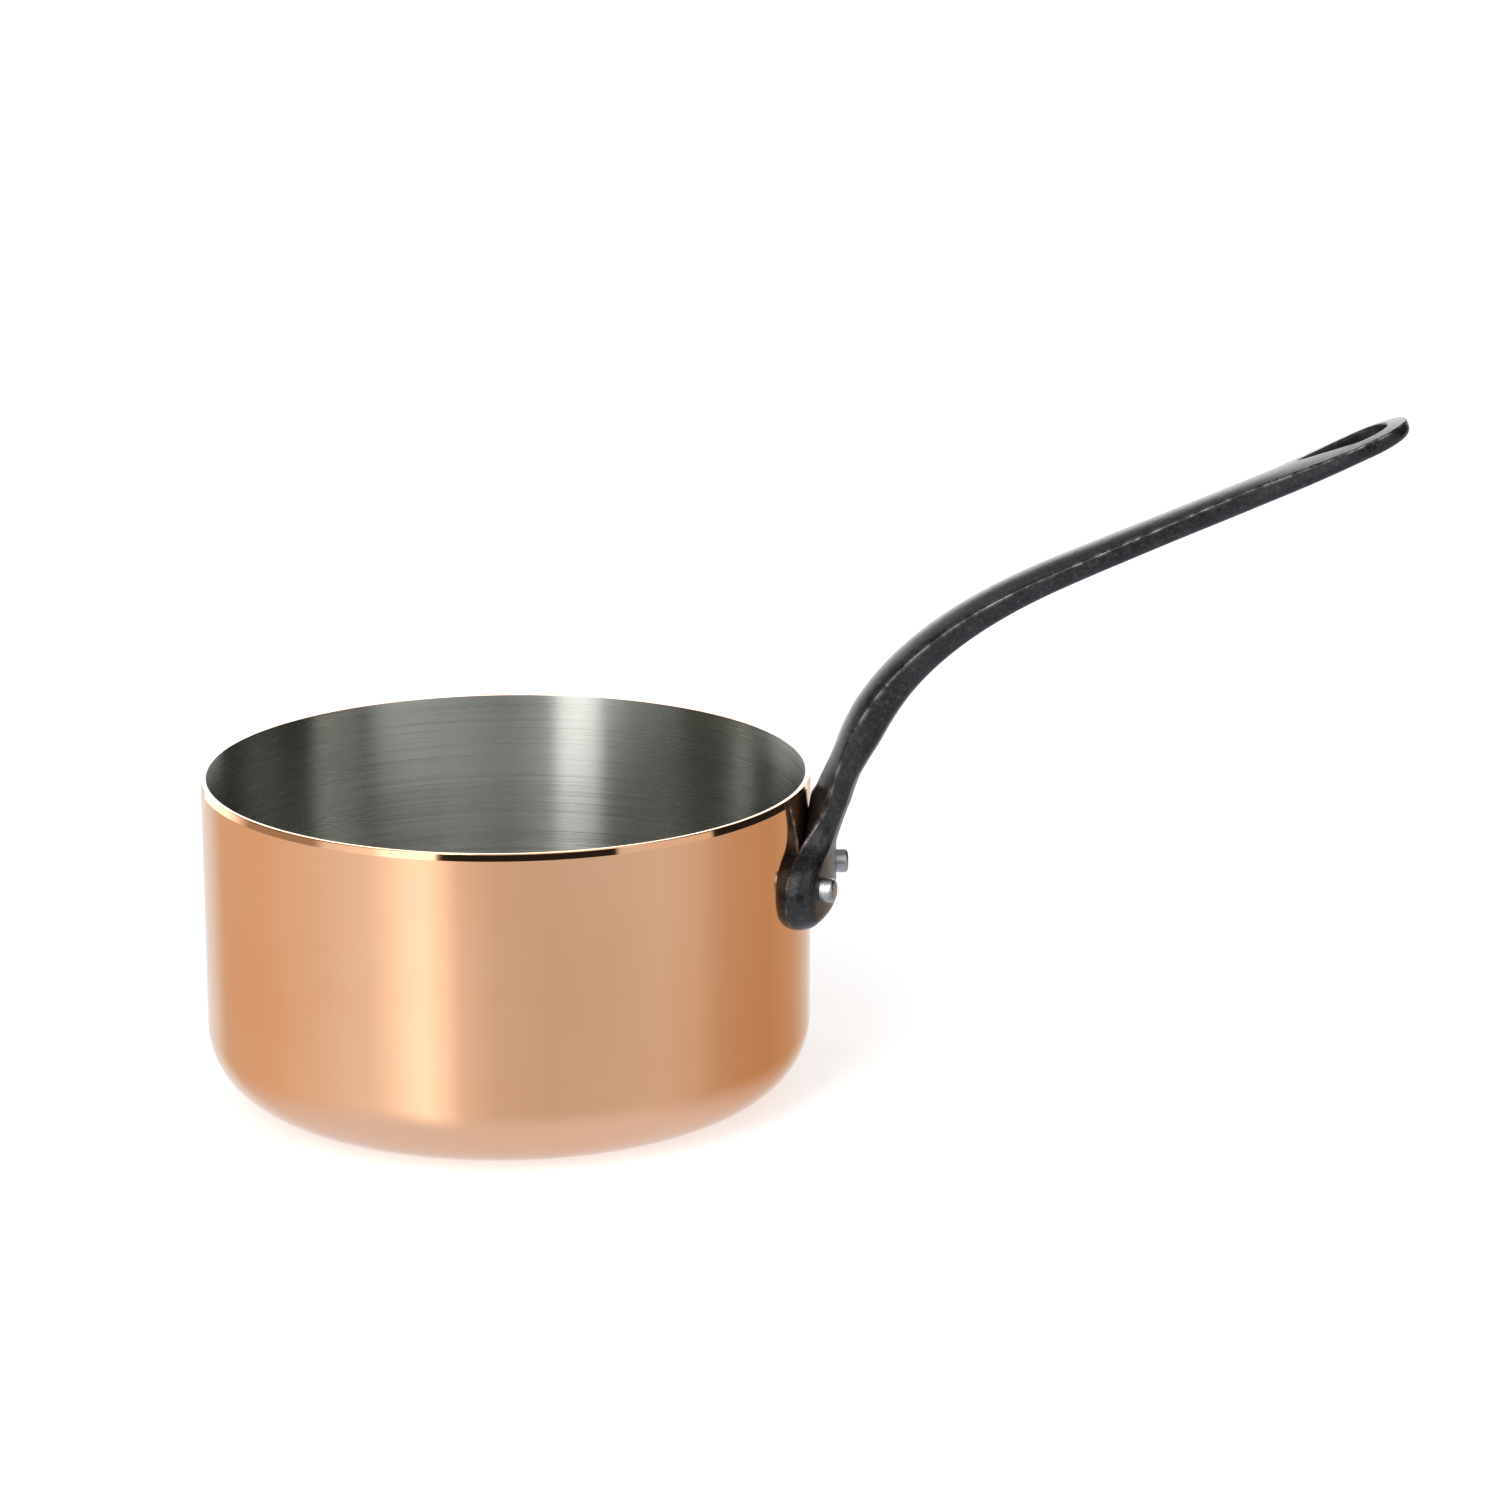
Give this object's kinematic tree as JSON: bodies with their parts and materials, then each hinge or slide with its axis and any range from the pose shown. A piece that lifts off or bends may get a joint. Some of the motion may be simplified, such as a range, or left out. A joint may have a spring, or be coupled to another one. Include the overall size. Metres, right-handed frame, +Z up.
{
  "type": "saucepan",
  "caption": "Straight sided copper saucepan with a bonded steel lining and a long cast iron handle riveted to the wall, ending in a teardrop hanging eye.",
  "frame": {"origin": "centre of the flat base's underside", "axes": "+Z up out of the pot's mouth, +X from the pot's axis along the handle"},
  "size_m": [0.3566, 0.1832, 0.2126],
  "materials": {
    "copper": "polished copper",
    "lining": "brushed stainless, lines round the pot",
    "handle_iron": "dark fine cast skin",
    "rivet_steel": "dull steel"
  },
  "bodies": {
    "root": {"copper_body": "copper", "steel_lining": "lining", "handle": "handle_iron", "rivet_near": "rivet_steel", "rivet_far": "rivet_steel"}
  },
  "joints": []
}
